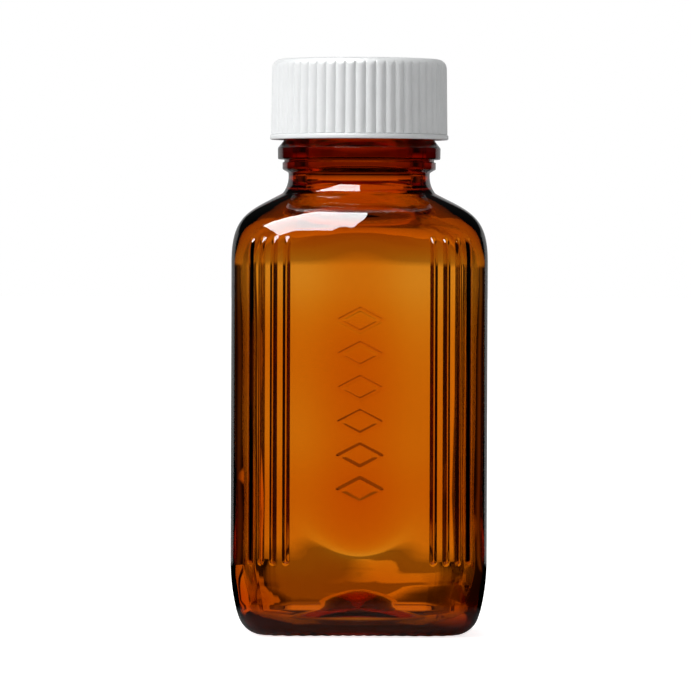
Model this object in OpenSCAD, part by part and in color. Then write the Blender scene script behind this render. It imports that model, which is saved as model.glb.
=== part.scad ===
// Square amber glass bottle with ribbed corners and a white screw cap.
// Z points up and the origin is in the middle of the face that it stands on.

/* [Body] */
// Width of the square body, from one flat panel to the panel opposite
body_w = 58.4; // [54:0.2:64]
// Radius of the upright corners, seen from above
corner_r = 13.6; // [12:0.2:16]
// Height at which the straight walls end and the shoulder starts
body_h = 85; // [70:1:110]
// Thickness of the glass in the panels
wall = 3; // [2:0.1:3.6]

/* [Heel and base] */
// Height over which the walls draw in above the base
heel_h = 17; // [14:0.5:22]
// How far each wall has drawn in where the tight curve starts
heel_draw = 1.8; // [1:0.1:3]
// Radius of the tight curve between the wall and the base
heel_r = 6; // [4:0.5:7]
// Thickness of the glass in the middle of the base
base_t = 4; // [3:0.2:6]
// Radius of the curve inside, between the wall and the floor
floor_r = 11; // [8:0.5:12]
// How far the middle of the floor rises inside
floor_rise = 0.8; // [0.4:0.1:1.5]
// Diameter of the hollow under the base
hollow_d = 37; // [30:1:38]
// Depth of the hollow under the base
hollow_h = 2.2; // [1:0.1:2.8]

/* [Shoulder] */
// Height of the shoulder, from the straight walls to the foot of the neck
shoulder_h = 15.8; // [14:0.2:22]
// Slope of the shoulder at the foot of the neck, in degrees below level
shoulder_slope = 28; // [22:1:32]
// How far the shoulder keeps that slope, as the length of its curve's upper handle
shoulder_reach = 9; // [7:0.5:10]
// Length of its curve's lower handle, which keeps the wall upright
shoulder_hold = 10.5; // [8:0.5:12]
// Height of glass between the shoulder's outer and inner slopes
shoulder_t = 3.6; // [3:0.1:5]

/* [Neck] */
// Diameter of the neck at its waist
neck_d = 32.2; // [31:0.2:33]
// Diameter of the bore
bore_d = 25; // [23:0.2:26]
// How far the neck flares out at its foot
neck_flare = 1.3; // [0.8:0.1:1.8]
// Height over which it flares
neck_flare_h = 3.8; // [3:0.1:4.6]
// Height of the neck, from its foot to the lower ring
neck_h = 5.4; // [5:0.1:9]
// Diameter of the lower ring
lower_ring_d = 35; // [34.4:0.1:36]
// Height of the lower ring
lower_ring_h = 1.7; // [1.4:0.1:2.6]
// Diameter in the groove between the two rings
groove_d = 34.2; // [33:0.1:34.2]
// Height of that groove
groove_h = 0.6; // [0.4:0.1:1.2]
// Diameter of the transfer bead
bead_d = 37.2; // [36.6:0.1:38.2]
// Height of the transfer bead
bead_h = 2.6; // [2:0.1:3.4]
// Height of the slope on top of the bead
bead_slope_h = 1.8; // [1.4:0.1:1.9]

/* [Threaded finish] */
// Height of the finish, from the bead to the rim
finish_h = 17.6; // [17:0.2:22]
// Diameter at the root of the thread
finish_d = 34.4; // [33.6:0.1:34.8]
// Height of the thread above its root, on the glass and in the cap
thread_rise = 1.2; // [0.9:0.05:1.3]
// Pitch of the thread
thread_pitch = 4.2; // [4:0.1:4.4]
// Turns of the thread on the glass
thread_turns = 1.75; // [1.5:0.05:1.9]
// Depth of the thread's upper end below the rim
thread_drop = 2.4; // [2.2:0.1:3]
// Radius of the rim's edges
rim_r = 1; // [0.6:0.1:1.4]

/* [Corner ribs] */
// Ribs on each of the two front corners
rib_count = 4; // [2:1:4]
// Angle between neighbouring ribs around the corner
rib_step = 12.5; // [9:0.5:13]
// Angle of the first rib past the edge of the panel
rib_first = 4.5; // [3:0.5:6]
// Width of a rib where it leaves the glass
rib_w = 1.7; // [1.2:0.1:2]
// How far a rib stands out
rib_rise = 0.65; // [0.4:0.05:0.8]
// Height of the ribs' lower ends
rib_bottom = 17; // [16:0.5:30]
// How far the ribs reach up past the start of the shoulder
rib_past = 4.4; // [0:0.2:5]

/* [Front relief] */
// Lozenges in the column on the front panel
mark_count = 6; // [3:1:7]
// Width of a lozenge
mark_w = 11; // [8:0.5:14]
// Height of a lozenge
mark_h = 6.4; // [5:0.2:7.4]
// Height from one lozenge to the next
mark_pitch = 7.7; // [7.6:0.1:9]
// Width of the raised line
mark_line = 1; // [0.7:0.1:1.3]
// How far the line stands out
mark_rise = 0.5; // [0.3:0.05:0.8]
// Height of the middle of the column
mark_z = 52.5; // [45:0.5:55]

/* [Cap] */
// Gap between the bead and the foot of the skirt
skirt_gap = 2; // [1.9:0.1:3]
// Radial clearance between the cap and the glass thread
thread_gap = 0.3; // [0.2:0.05:0.4]
// Wall of the skirt, to the bottom of the grooves
skirt_t = 1.1; // [0.9:0.1:1.6]
// Thickness of the cap's top
cap_top_t = 1.5; // [1.2:0.1:2.5]
// Grooves around the skirt
groove_count = 54; // [30:1:60]
// Depth of the grooves
groove_depth = 0.5; // [0.3:0.05:0.6]
// Taper of the skirt, in degrees
draft = 0.7; // [0:0.1:1]
// Radius of the cap's upper edge
cap_edge_r = 2.2; // [1.6:0.1:2.4]
// Height of the plain band at the foot
band_h = 1.1; // [0.8:0.1:2]
// How far the band stands out from the ridges
band_rise = 0.2; // [0.1:0.05:0.4]
// Turns of the cap's thread
cap_thread_turns = 1.5; // [1.2:0.05:1.6]
// Slack along the axis between the two threads
thread_slack = 0.2; // [0.1:0.05:0.4]

/* [Liner] */
// Thickness of the resilient disc
wad_t = 1.2; // [0.8:0.1:2]
// Thickness of the film under it
facing_t = 0.2; // [0.1:0.05:0.4]
// Gap around the liner in the cap
liner_gap = 0.35; // [0.2:0.05:0.6]

/* [Hidden] */
$fn = 96;

amber = [0.66, 0.3, 0.04];
white = [0.95, 0.95, 0.95];
wad_white = [0.9, 0.88, 0.84];
film_white = [0.98, 0.98, 0.96];

// Heights up the neck
neck_z = body_h + shoulder_h;
lower_ring_z = neck_z + neck_h;
groove_z = lower_ring_z + lower_ring_h;
bead_z = groove_z + groove_h;
bead_top_z = bead_z + bead_h;
rim_z = bead_top_z + finish_h;

// Half sizes of the body and of the space inside it
half_w = body_w / 2;
half_inner = half_w - wall;
inner_corner_r = corner_r - wall;
bore_r = bore_d / 2;
neck_foot_r = neck_d / 2 + neck_flare;
floor_z = hollow_h + base_t - floor_rise;

// Cap and liner
thread_r = finish_d / 2 + thread_rise;
cap_bore_r = thread_r + thread_gap;
groove_r = cap_bore_r + skirt_t;
ridge_r = groove_r + groove_depth;
skirt_z = bead_top_z + skirt_gap;
facing_z = rim_z;
wad_z = facing_z + facing_t;
cap_ceiling_z = wad_z + wad_t;
cap_top_z = cap_ceiling_z + cap_top_t;
liner_r = cap_bore_r - liner_gap;

// Both threads: a trapezoid that is broad at its root
thread_root_w = 2.3;
thread_crest_w = 1.1;
cap_thread_root_w = 1.7;
cap_thread_crest_w = 0.8;
thread_sink = 0.5;
thread_run_out = 0.12;
thread_steps = 36;
thread_top_z = rim_z - thread_drop;
thread_overlap = thread_rise - thread_gap;
thread_flanks = (thread_crest_w + cap_thread_crest_w) / 2
    + thread_overlap * (thread_root_w - thread_crest_w) / (2 * thread_rise);
cap_thread_top_z = thread_top_z - thread_flanks - thread_slack;

// Steps in curved surfaces
arc_steps = 12;
panel_steps = 4;
heel_steps = 7;
draw_steps = 4;
shoulder_steps = 12;
round_steps = 8;
overlap = 0.5;

// Angles of the body's columns of points: around each corner, then across the next panel
corner_k = half_w - corner_r;
function corner_angle(turn) =
    atan2(corner_k + corner_r * sin(turn), corner_k + corner_r * cos(turn));
panel_end = corner_angle(0);
columns = [for (quarter = [0 : 3]) each concat(
    [for (i = [0 : arc_steps]) 90 * quarter + corner_angle(90 * i / arc_steps)],
    [for (i = [1 : panel_steps - 1]) 90 * (quarter + 1) - panel_end + 2 * panel_end * i / panel_steps])];

// Distance from the axis to a square with round corners, along one direction
function square_r(half, corner, angle) =
    let (u = abs(cos(angle)), v = abs(sin(angle)), k = half - corner)
    min(u, v) * half <= k * max(u, v)
        ? half / max(u, v)
        : k * (u + v) + sqrt(corner * corner - k * k * (u - v) * (u - v));

function square_ring(half, corner) =
    [for (a = columns) square_r(half, corner, a) * [cos(a), sin(a)]];

function arc(centre, r, from, to, steps) =
    [for (i = [0 : steps]) let (a = from + (to - from) * i / steps) centre + r * [cos(a), sin(a)]];

function bezier(a, b, c, d, t) =
    pow(1 - t, 3) * a + 3 * t * pow(1 - t, 2) * b + 3 * t * t * (1 - t) * c + pow(t, 3) * d;

// Radius of an arc that is upright at one end and has gone sideways by across after along
function arc_r(across, along) = (across * across + along * along) / (2 * across);

// Heel: the half width and the height at each step, from the base up
draw_arc_r = arc_r(heel_draw, heel_h - heel_r);
draw_angle = asin((heel_h - heel_r) / draw_arc_r);
tight_top_z = heel_r * (1 - sin(draw_angle));
heel_arc_r = arc_r(heel_draw, heel_h - tight_top_z);
heel_angle = asin((heel_h - tight_top_z) / heel_arc_r);
tight_x = half_w - heel_draw - heel_r * cos(heel_angle);
heel_profile = concat(
    [for (i = [0 : heel_steps]) let (a = 90 - (90 - heel_angle) * i / heel_steps)
        [tight_x + heel_r * cos(a), heel_r * (1 - sin(a))]],
    [for (i = [1 : draw_steps]) let (a = heel_angle * (1 - i / draw_steps))
        [half_w - heel_arc_r * (1 - cos(a)), heel_h - heel_arc_r * sin(a)]]);

// Shoulder: the same, from the straight wall to the foot of the neck
function shoulder_curve(half, low_z, foot_r, foot_z, hold, reach) =
    [for (i = [0 : shoulder_steps])
        bezier([half, low_z], [half, low_z + hold],
            [foot_r + reach * cos(shoulder_slope), foot_z - reach * sin(shoulder_slope)],
            [foot_r, foot_z], i / shoulder_steps)];

// Corner radius on the way from the body's corner to the round neck
function shoulder_corner(half, body_half, body_corner, foot_r) =
    body_corner + (foot_r - body_corner) * (body_half - half) / (body_half - foot_r);

// Solid through rings of points around the axis, one above the other
module loft(rings, heights) {
    n = len(rings[0]);
    last = len(rings) - 1;
    foot = (last + 1) * n;
    points = concat(
        [for (i = [0 : last]) for (p = rings[i]) [p.x, p.y, heights[i]]],
        [[0, 0, heights[0]], [0, 0, heights[last]]]);
    sides = [for (i = [0 : last - 1]) for (j = [0 : n - 1])
        let (a = i * n + j, b = i * n + (j + 1) % n)
        each [[a, b + n, b], [a, a + n, b + n]]];
    ends = [for (j = [0 : n - 1])
        let (k = (j + 1) % n)
        each [[foot, j, k], [foot + 1, last * n + k, last * n + j]]];
    polyhedron(points, concat(sides, ends), convexity = 6);
}

module square_loft(profile, corners) {
    loft([for (i = [0 : len(profile) - 1]) square_ring(profile[i].x, corners[i])],
        [for (p = profile) p.y]);
}

// Thread: a trapezoid swept up a right-hand helix, run out into the wall at both ends
module thread(root_r, crest_r, sink, root_w, crest_w, top_z, turns) {
    steps = round(turns * thread_steps);
    hidden_r = root_r - sign(crest_r - root_r) * sink;
    points = [for (i = [0 : steps])
        let (t = i / steps, angle = 360 * turns * (t - 1), z = top_z + thread_pitch * turns * (t - 1))
        let (full = min(1, t / thread_run_out, (1 - t) / thread_run_out))
        let (tip_r = hidden_r + (0.1 * (1 - full) + full) * (crest_r - hidden_r))
        for (p = [[hidden_r, -root_w / 2], [tip_r, -crest_w / 2], [tip_r, crest_w / 2],
                  [hidden_r, root_w / 2]])
        [p.x * cos(angle), p.x * sin(angle), z + p.y]];
    outward = crest_r > root_r;
    function turned(face) = outward ? face : [for (i = [len(face) - 1 : -1 : 0]) face[i]];
    sides = [for (i = [0 : steps - 1]) for (j = [0 : 3])
        let (a = 4 * i + j, b = 4 * i + (j + 1) % 4)
        each [turned([a, b, b + 4]), turned([a, b + 4, a + 4])]];
    ends = [turned([3, 2, 1, 0]), turned([for (j = [0 : 3]) 4 * steps + j])];
    polyhedron(points, concat(sides, ends), convexity = 6);
}

module body_outside() {
    straight_corners = [for (p = heel_profile) corner_r - (half_w - p.x)];
    square_loft(heel_profile, straight_corners);
    translate([0, 0, heel_h])
        linear_extrude(body_h - heel_h)
            polygon(square_ring(half_w, corner_r));
    curve = shoulder_curve(half_w, body_h, neck_foot_r, neck_z, shoulder_hold, shoulder_reach);
    square_loft(curve, [for (p = curve) shoulder_corner(p.x, half_w, corner_r, neck_foot_r)]);
}

// Neck, rings, bead and finish, turned about the axis
module neck_outside() {
    flare_r = arc_r(neck_flare, neck_flare_h);
    flare_angle = asin(neck_flare_h / flare_r);
    waist = neck_d / 2;
    ring_slope = (lower_ring_d - neck_d) / 2;
    rim_centre = [finish_d / 2 - rim_r, rim_z - rim_r];
    profile = concat(
        [[0, neck_z - overlap], [neck_foot_r, neck_z - overlap]],
        arc([waist + flare_r, neck_z + neck_flare_h], flare_r, 180 + flare_angle, 180, round_steps),
        [[waist, lower_ring_z - ring_slope / 2],
         [lower_ring_d / 2, lower_ring_z],
         [lower_ring_d / 2, groove_z],
         [groove_d / 2, groove_z],
         [groove_d / 2, bead_z],
         [bead_d / 2, bead_z],
         [bead_d / 2, bead_top_z],
         [finish_d / 2, bead_top_z + bead_slope_h]],
        arc(rim_centre, rim_r, 0, 90, round_steps),
        [[0, rim_z]]);
    rotate_extrude() polygon(profile);
}

// One rib, at an angle around the corner from the front panel
module corner_rib(side, angle) {
    round_r = arc_r(rib_rise, rib_w / 2);
    reach = corner_r + rib_rise - round_r;
    length = body_h + rib_past - rib_bottom;
    translate([side * (corner_k + reach * sin(angle)), -corner_k - reach * cos(angle), rib_bottom]) {
        cylinder(r = round_r, h = length);
        sphere(round_r);
        translate([0, 0, length]) sphere(round_r);
    }
}

module ribs() {
    for (side = [-1, 1], i = [0 : rib_count - 1])
        corner_rib(side, rib_first + rib_step * i, $fn = 32);
}

module lozenge(w, h) {
    polygon([[w / 2, 0], [0, h / 2], [-w / 2, 0], [0, -h / 2]]);
}

// Column of lozenge outlines that stands out from the front panel
module front_relief() {
    edge = norm([mark_w, mark_h]);
    inner_w = mark_w - 2 * mark_line * edge / mark_h;
    inner_h = mark_h - 2 * mark_line * edge / mark_w;
    for (i = [0 : mark_count - 1])
        translate([0, overlap - half_w, mark_z + mark_pitch * (i - (mark_count - 1) / 2)])
            rotate([90, 0, 0])
                linear_extrude(mark_rise + overlap)
                    difference() {
                        lozenge(mark_w, mark_h);
                        lozenge(inner_w, inner_h);
                    }
}

// Space inside: floor, walls, shoulder and bore
module inside() {
    floor_profile = concat(
        [[(half_inner - floor_r) / 2, floor_z + floor_rise]],
        [for (i = [0 : heel_steps]) let (a = 90 * i / heel_steps)
            [half_inner - floor_r * (1 - sin(a)), floor_z + floor_r * (1 - cos(a))]]);
    foot_r = bore_r - overlap;
    run = neck_foot_r - foot_r;
    foot_z = neck_z + run * tan(shoulder_slope) - shoulder_t;
    curve = shoulder_curve(half_inner, body_h - wall / 2, foot_r, foot_z,
        shoulder_hold, shoulder_reach + run / cos(shoulder_slope));
    profile = concat(floor_profile, curve);
    corners = concat(
        [for (p = floor_profile) inner_corner_r * p.x / half_inner],
        [for (p = curve) shoulder_corner(p.x, half_inner, inner_corner_r, foot_r)]);
    square_loft(profile, corners);
    translate([0, 0, foot_z - wall]) cylinder(r = bore_r, h = rim_z - foot_z + wall + overlap);
}

module hollow_under_base() {
    r = arc_r(hollow_h, hollow_d / 2);
    translate([0, 0, hollow_h - r]) sphere(r, $fn = 128);
}

module bottle() {
    color(amber)
        difference() {
            union() {
                body_outside();
                neck_outside();
                ribs();
                front_relief();
                thread(finish_d / 2, thread_r, thread_sink, thread_root_w, thread_crest_w,
                    thread_top_z, thread_turns);
            }
            inside();
            hollow_under_base();
        }
}

// Cap without its grooves: a tapered skirt, a round upper edge and the band at its foot
module cap_blank() {
    taper = (cap_top_z - skirt_z) * tan(draft);
    edge_centre = [ridge_r - taper - cap_edge_r, cap_top_z - cap_edge_r];
    band_r = ridge_r + band_rise;
    profile = concat(
        [[0, skirt_z], [band_r, skirt_z], [band_r, skirt_z + band_h], [ridge_r, skirt_z + band_h]],
        arc(edge_centre, cap_edge_r, 0, 90, round_steps),
        [[0, cap_top_z]]);
    rotate_extrude() polygon(profile);
}

// V grooves, which run out in the round upper edge
module skirt_grooves() {
    pitch_w = 2 * PI * ridge_r / groove_count;
    half_mouth = 0.4 * pitch_w;
    for (i = [0 : groove_count - 1])
        rotate([0, 0, 360 * i / groove_count])
            translate([groove_r, 0, skirt_z + band_h])
                rotate([0, -draft, 0])
                    linear_extrude(cap_top_z - skirt_z)
                        polygon([[0, 0], 2 * [groove_depth, half_mouth], 2 * [groove_depth, -half_mouth]]);
}

module screw_cap() {
    color(white) {
        difference() {
            cap_blank();
            skirt_grooves();
            translate([0, 0, skirt_z - overlap])
                cylinder(r = cap_bore_r, h = cap_ceiling_z - skirt_z + overlap);
        }
        thread(cap_bore_r, cap_bore_r - thread_rise, thread_sink, cap_thread_root_w,
            cap_thread_crest_w, cap_thread_top_z, cap_thread_turns);
    }
}

module liner_wad() {
    color(wad_white) translate([0, 0, wad_z]) cylinder(r = liner_r, h = wad_t);
}

module liner_facing() {
    color(film_white) translate([0, 0, facing_z]) cylinder(r = liner_r, h = facing_t);
}

bottle();
screw_cap();
liner_wad();
liner_facing();
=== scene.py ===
"""Looks of a square amber glass bottle with ribbed front corners and a white screw cap.

Sizes of the glass and of the cap are in millimetres, with the meshes made in metres. Those of the view, the
floor, the cards and the lamps are in metres.
"""

import math

import bpy
import numpy as np
from mathutils import Matrix, Vector


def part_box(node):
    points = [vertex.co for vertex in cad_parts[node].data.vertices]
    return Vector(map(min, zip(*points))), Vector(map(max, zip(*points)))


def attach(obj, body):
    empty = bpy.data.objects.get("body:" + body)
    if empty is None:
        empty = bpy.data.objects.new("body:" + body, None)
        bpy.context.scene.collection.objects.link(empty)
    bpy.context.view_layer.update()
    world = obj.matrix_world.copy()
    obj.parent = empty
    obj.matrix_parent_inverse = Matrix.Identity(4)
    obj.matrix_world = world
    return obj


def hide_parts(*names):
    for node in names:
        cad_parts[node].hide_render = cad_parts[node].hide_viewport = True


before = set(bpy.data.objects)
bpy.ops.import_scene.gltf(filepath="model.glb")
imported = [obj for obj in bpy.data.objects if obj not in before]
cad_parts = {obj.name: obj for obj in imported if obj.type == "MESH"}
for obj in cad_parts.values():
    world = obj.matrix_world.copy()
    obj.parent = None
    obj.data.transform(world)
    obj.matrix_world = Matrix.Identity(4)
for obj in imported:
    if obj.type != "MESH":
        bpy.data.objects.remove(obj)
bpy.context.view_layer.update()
bottle_low, bottle_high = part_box("bottle")
cap_low, cap_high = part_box("screw_cap")
MM = 0.001

# Body
HALF_W = (bottle_high[0] - bottle_low[0]) / MM / 2
CORNER_R = 13.6
BODY_H = 85
WALL = 3
HEEL_H = 17
HEEL_DRAW = 1.8
HEEL_R = 6
INNER_CORNER_R = 10.3
FLOOR_LOW_Z = 2.3
FLOOR_RISE = 6.8
FLOOR_R = 5
FLOOR_FLAT = 20
FLOOR_DOME_R = 16
HOLLOW_R = 18.5
HOLLOW_H = 5

# Shoulder
SHOULDER_H = 15.8
SHOULDER_SLOPE = math.radians(28)
SHOULDER_REACH = 9
SHOULDER_HOLD = 10.5
SHOULDER_T = 3.6

# Neck
BORE_R = 12.5
WAIST_R = 16.1
NECK_FLARE = 1.3
NECK_FLARE_H = 3.8
NECK_H = 5.4
RING_R = 17.5
RING_H = 1.7
GROOVE_R = 17.1
GROOVE_H = 0.6
BEAD_R = 18.6
BEAD_H = 2.6
BEAD_SLOPE_H = 1.8
FINISH_R = 17.2
FINISH_H = 17.6
LIP_R = 1
THREAD_R = 18.4
THREAD_PITCH = 4.2
THREAD_TURNS = 1.75
THREAD_DROP = 2.4
THREAD_ROOT_W = 2.3
THREAD_CREST_W = 1.1
THREAD_RUN_OUT = 0.12

NECK_Z = BODY_H + SHOULDER_H
RING_Z = NECK_Z + NECK_H
GROOVE_Z = RING_Z + RING_H
BEAD_Z = GROOVE_Z + GROOVE_H
BEAD_TOP_Z = BEAD_Z + BEAD_H
FINISH_FOOT_Z = BEAD_TOP_Z + BEAD_SLOPE_H + 1.2
RIM_Z = BEAD_TOP_Z + FINISH_H

# Ribs on the two front corners
RIB_COUNT = 4
RIB_STEP = 12.5
RIB_FIRST = 4.5
RIB_HALF_W = 0.85
RIB_RISE = 0.65
RIB_TIP = 0.12
RIB_LOW_Z = 17.4
RIB_HIGH_Z = BODY_H + 4.4

# Column of lozenges on the front panel
MARK_COUNT = 6
MARK_W = 11
MARK_H = 6.4
MARK_PITCH = 7.7
MARK_HALF_LINE = 0.65
MARK_RISE = 0.25
MARK_TIP = 0.22
MARK_Z = 52.5

# Cap
CAP_BORE_R = 18.7
CAP_GROOVE_R = 19.8
CAP_GROOVE_DEPTH = 0.5
CAP_GROOVES = 54
CAP_GROOVE_POWER = 0.75
CAP_DRAFT = math.tan(math.radians(0.7))
CAP_EDGE_R = 2.2
CAP_TOP_T = 1.5
CAP_TOP_DIP = 0.12
CAP_TOP_DIP_R = 17
CAP_TOP_ROWS = (1.5, 6, 11, 15, 16.8)
BAND_H = 1.1
BAND_RISE = 0.2
CAP_THREAD_RISE = 1.2
CAP_THREAD_TURNS = 1.5
CAP_THREAD_ROOT_W = 1.7
CAP_THREAD_CREST_W = 0.8
# How far the top end of the cap's thread lies below that of the glass thread
CAP_THREAD_BELOW = (THREAD_CREST_W + CAP_THREAD_CREST_W) / 2 + 1.4
SKIRT_Z = cap_low[2] / MM
CAP_TOP_Z = cap_high[2] / MM


def arc(centre, radius, start, end, steps):
    """Points of an arc, with its angles in degrees."""
    turns = np.radians(np.linspace(start, end, steps + 1))
    return [(centre[0] + radius * math.cos(t), centre[1] + radius * math.sin(t)) for t in turns]


def arc_radius(across, along):
    """Radius of an arc that is upright at one end and has gone sideways by across after along."""
    return (across * across + along * along) / (2 * across)


def bezier(a, b, c, d, steps):
    t = np.linspace(0, 1, steps + 1)[:, None]
    a, b, c, d = (np.array(p, float) for p in (a, b, c, d))
    return (1 - t) ** 3 * a + 3 * t * (1 - t) ** 2 * b + 3 * t * t * (1 - t) * c + t ** 3 * d


def rounded(points):
    """Outline through points (x, y, radius), with an arc of each radius at its point."""
    steps = 4
    out = [np.array(points[0][:2], float)]
    for before, here, after in zip(points, points[1:], points[2:]):
        p = np.array(here[:2], float)
        u = np.array(before[:2], float) - p
        v = np.array(after[:2], float) - p
        u_len, v_len = np.linalg.norm(u), np.linalg.norm(v)
        u, v = u / u_len, v / v_len
        half = math.acos(np.clip(u @ v, -1, 1)) / 2
        if here[2] == 0 or half > math.radians(89):
            out.append(p)
            continue
        reach = min(here[2] / math.tan(half), 0.49 * u_len, 0.49 * v_len)
        start, end = p + u * reach, p + v * reach
        for t in np.linspace(0, 1, steps + 1):
            out.append((1 - t) ** 2 * start + 2 * t * (1 - t) * p + t * t * end)
    out.append(np.array(points[-1][:2], float))
    return out


def spread(stops, gap):
    """The stops, and even steps of at most gap between them."""
    stops = sorted(set(round(s, 6) for s in stops))
    out = []
    for a, b in zip(stops, stops[1:]):
        steps = max(1, math.ceil((b - a) / gap - 1e-6))
        out += list(np.linspace(a, b, steps + 1)[:-1])
    return np.array(out + [stops[-1]])


BUMP_POWER = 1.3


def bump(distance, half_width, rise):
    """A rounded hump: full height in its middle and level from half_width on."""
    return rise * np.clip(1 - (distance / half_width) ** 2, 0, 1) ** BUMP_POWER


def ridge(distance, half_width, rise, tip):
    """A gabled ridge as one branch of a hyperbola; tip says how round its top is."""
    across = np.hypot(np.clip(np.abs(distance) / half_width, 0, 1), tip)
    foot = math.hypot(1, tip)
    return rise * (foot - across) / (foot - tip)


def smooth_step(x):
    x = np.clip(x, 0, 1)
    return x * x * (3 - 2 * x)


def thread_height(angle, z, top_z, turns, root_w, crest_w, rise):
    """Height of a right-hand thread above its root, at angles in radians and heights in mm."""
    total = np.zeros(np.broadcast(angle, z).shape)
    lowest = top_z - THREAD_PITCH * turns
    base = np.mod(angle, 2 * math.pi)
    end = np.mod(2 * math.pi * -turns, 2 * math.pi)
    start_angle = np.mod(base - end, 2 * math.pi)
    for lap in range(math.ceil(turns) + 1):
        along = start_angle / (2 * math.pi) + lap
        part = along / turns
        centre = lowest + THREAD_PITCH * along
        fade = np.clip(np.minimum(part, 1 - part) / THREAD_RUN_OUT, 0, 1)
        flank = (root_w / 2 - np.abs(z - centre)) / ((root_w - crest_w) / 2)
        total = np.maximum(total, rise * smooth_step(flank) * smooth_step(fade) * (part <= 1))
    return total


def make_mesh(name, points, faces, material):
    """A smooth mesh piece from points in mm."""
    mesh = bpy.data.meshes.new(name)
    mesh.from_pydata((np.asarray(points) * MM).tolist(), [], [list(map(int, f)) for f in faces])
    mesh.polygons.foreach_set("use_smooth", np.ones(len(mesh.polygons), bool))
    mesh.materials.append(material)
    mesh.validate()
    piece = bpy.data.objects.new(name, mesh)
    bpy.context.scene.collection.objects.link(piece)
    return piece


def sheet_faces(rows, columns, skip=None):
    """Quads of a grid that closes around its columns, leaving out the cells that skip names."""
    faces = []
    for i in range(rows - 1):
        for j in range(columns):
            if skip and skip(i, j):
                continue
            k = (j + 1) % columns
            faces.append((i * columns + j, i * columns + k, (i + 1) * columns + k, (i + 1) * columns + j))
    return faces


# Perimeter of the wall: the distance along it starts in the middle of the +X panel and goes round towards +Y
PANEL_HALF = HALF_W - CORNER_R
CORNER_LENGTH = CORNER_R * math.pi / 2
SIDE_LENGTH = 2 * PANEL_HALF + CORNER_LENGTH
PERIMETER = 4 * SIDE_LENGTH
FRONT_MIDDLE = 3 * SIDE_LENGTH


def place_of_normal(degrees):
    """Distance along the perimeter where the corner's normal has this angle."""
    quarter = int(degrees // 90) % 4
    return PANEL_HALF + quarter * SIDE_LENGTH + CORNER_R * math.radians(degrees - 90 * quarter)


def wall_point(s):
    """Point of the wall and its outward normal at a distance along the perimeter."""
    s = (s + PANEL_HALF) % PERIMETER - PANEL_HALF
    quarter = int((s + PANEL_HALF) // SIDE_LENGTH)
    local = s - quarter * SIDE_LENGTH
    if local <= PANEL_HALF:
        point, turn = (HALF_W, local), 0
    else:
        turn = (local - PANEL_HALF) / CORNER_R
        point = (PANEL_HALF + CORNER_R * math.cos(turn), PANEL_HALF + CORNER_R * math.sin(turn))
    angle = quarter * math.pi / 2
    c, d = math.cos(angle), math.sin(angle)
    x, y = point
    return (c * x - d * y, d * x + c * y), (math.cos(angle + turn), math.sin(angle + turn))


FRONT_NORMAL = 270
RIB_NORMALS = [FRONT_NORMAL + sign * (RIB_FIRST + RIB_STEP * i) for sign in (-1, 1) for i in range(RIB_COUNT)]
RIB_PLACES = [place_of_normal(n) for n in RIB_NORMALS]
SEAM_PLACES = (0, 2 * SIDE_LENGTH)
RIB_STOPS = (-1.12, -1, -0.93, -0.82, -0.68, -0.5, -0.26, 0, 0.26, 0.5, 0.68, 0.82, 0.93, 1, 1.12)
# Fine grid on the front panel that holds the lozenges
PATCH_HALF_W = 7
PATCH_LOW_Z = 28
PATCH_HIGH_Z = 77
PATCH_GAP = 0.3
# Widest gaps of the other columns and rows
COLUMN_GAP = 1.1
WALL_ROW_GAP = 9
FINISH_ROW_GAP = 0.45
INNER_ROW_GAP = 1.6


def wall_columns():
    """Distances along the perimeter: close together across each rib and seam, wider elsewhere."""
    stops = [0, PERIMETER]
    for place in RIB_PLACES:
        stops += [place + d * RIB_HALF_W for d in RIB_STOPS]
    for place in SEAM_PLACES:
        stops += [(place + d) % PERIMETER for d in (-0.4, -0.15, 0, 0.15, 0.4)]
    for panel in range(4):
        stops += [(panel * SIDE_LENGTH + d) % PERIMETER for d in (-PANEL_HALF, PANEL_HALF)]
    stops += [FRONT_MIDDLE - PATCH_HALF_W, FRONT_MIDDLE + PATCH_HALF_W]
    return spread(stops, COLUMN_GAP)[:-1]


def section_radius(half, corner, angles):
    """Distance from the axis to a square with round corners, along each direction."""
    u, v = np.abs(np.cos(angles)), np.abs(np.sin(angles))
    k = half - corner
    high, low = np.maximum(u, v), np.minimum(u, v)
    on_corner = k * (u + v) + np.sqrt(np.maximum(corner ** 2 - k * k * (u - v) ** 2, 0))
    return np.where(low * half <= k * high, half / high, on_corner)


def shoulder_rows(half, low_z, corner, foot, hold, reach, steps):
    """Rows (half width, corner radius, height) from the wall to the foot of the neck."""
    slope = (math.cos(SHOULDER_SLOPE), math.sin(SHOULDER_SLOPE))
    curve = bezier((half, low_z), (half, low_z + hold),
                   (foot[0] + reach * slope[0], foot[1] - reach * slope[1]), foot, steps)
    return [(x, corner + (foot[0] - corner) * (half - x) / (half - foot[0]), z) for x, z in curve]


def heel_outline():
    """Half width and height of the heel, from the base up."""
    first_r = arc_radius(HEEL_DRAW, HEEL_H - HEEL_R)
    tight_top = HEEL_R * (1 - (HEEL_H - HEEL_R) / first_r)
    draw_r = arc_radius(HEEL_DRAW, HEEL_H - tight_top)
    angle = math.degrees(math.asin((HEEL_H - tight_top) / draw_r))
    tight_x = HALF_W - HEEL_DRAW - HEEL_R * math.cos(math.radians(angle))
    tight = arc((tight_x, HEEL_R), HEEL_R, -90, -angle, 12)
    rib_foot = 0.12 * angle
    drawn = arc((HALF_W - draw_r, HEEL_H), draw_r, -angle, -rib_foot, 7)
    fine = arc((HALF_W - draw_r, HEEL_H), draw_r, -rib_foot, 0, 5)
    return tight + drawn[1:] + fine[1:]


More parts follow.
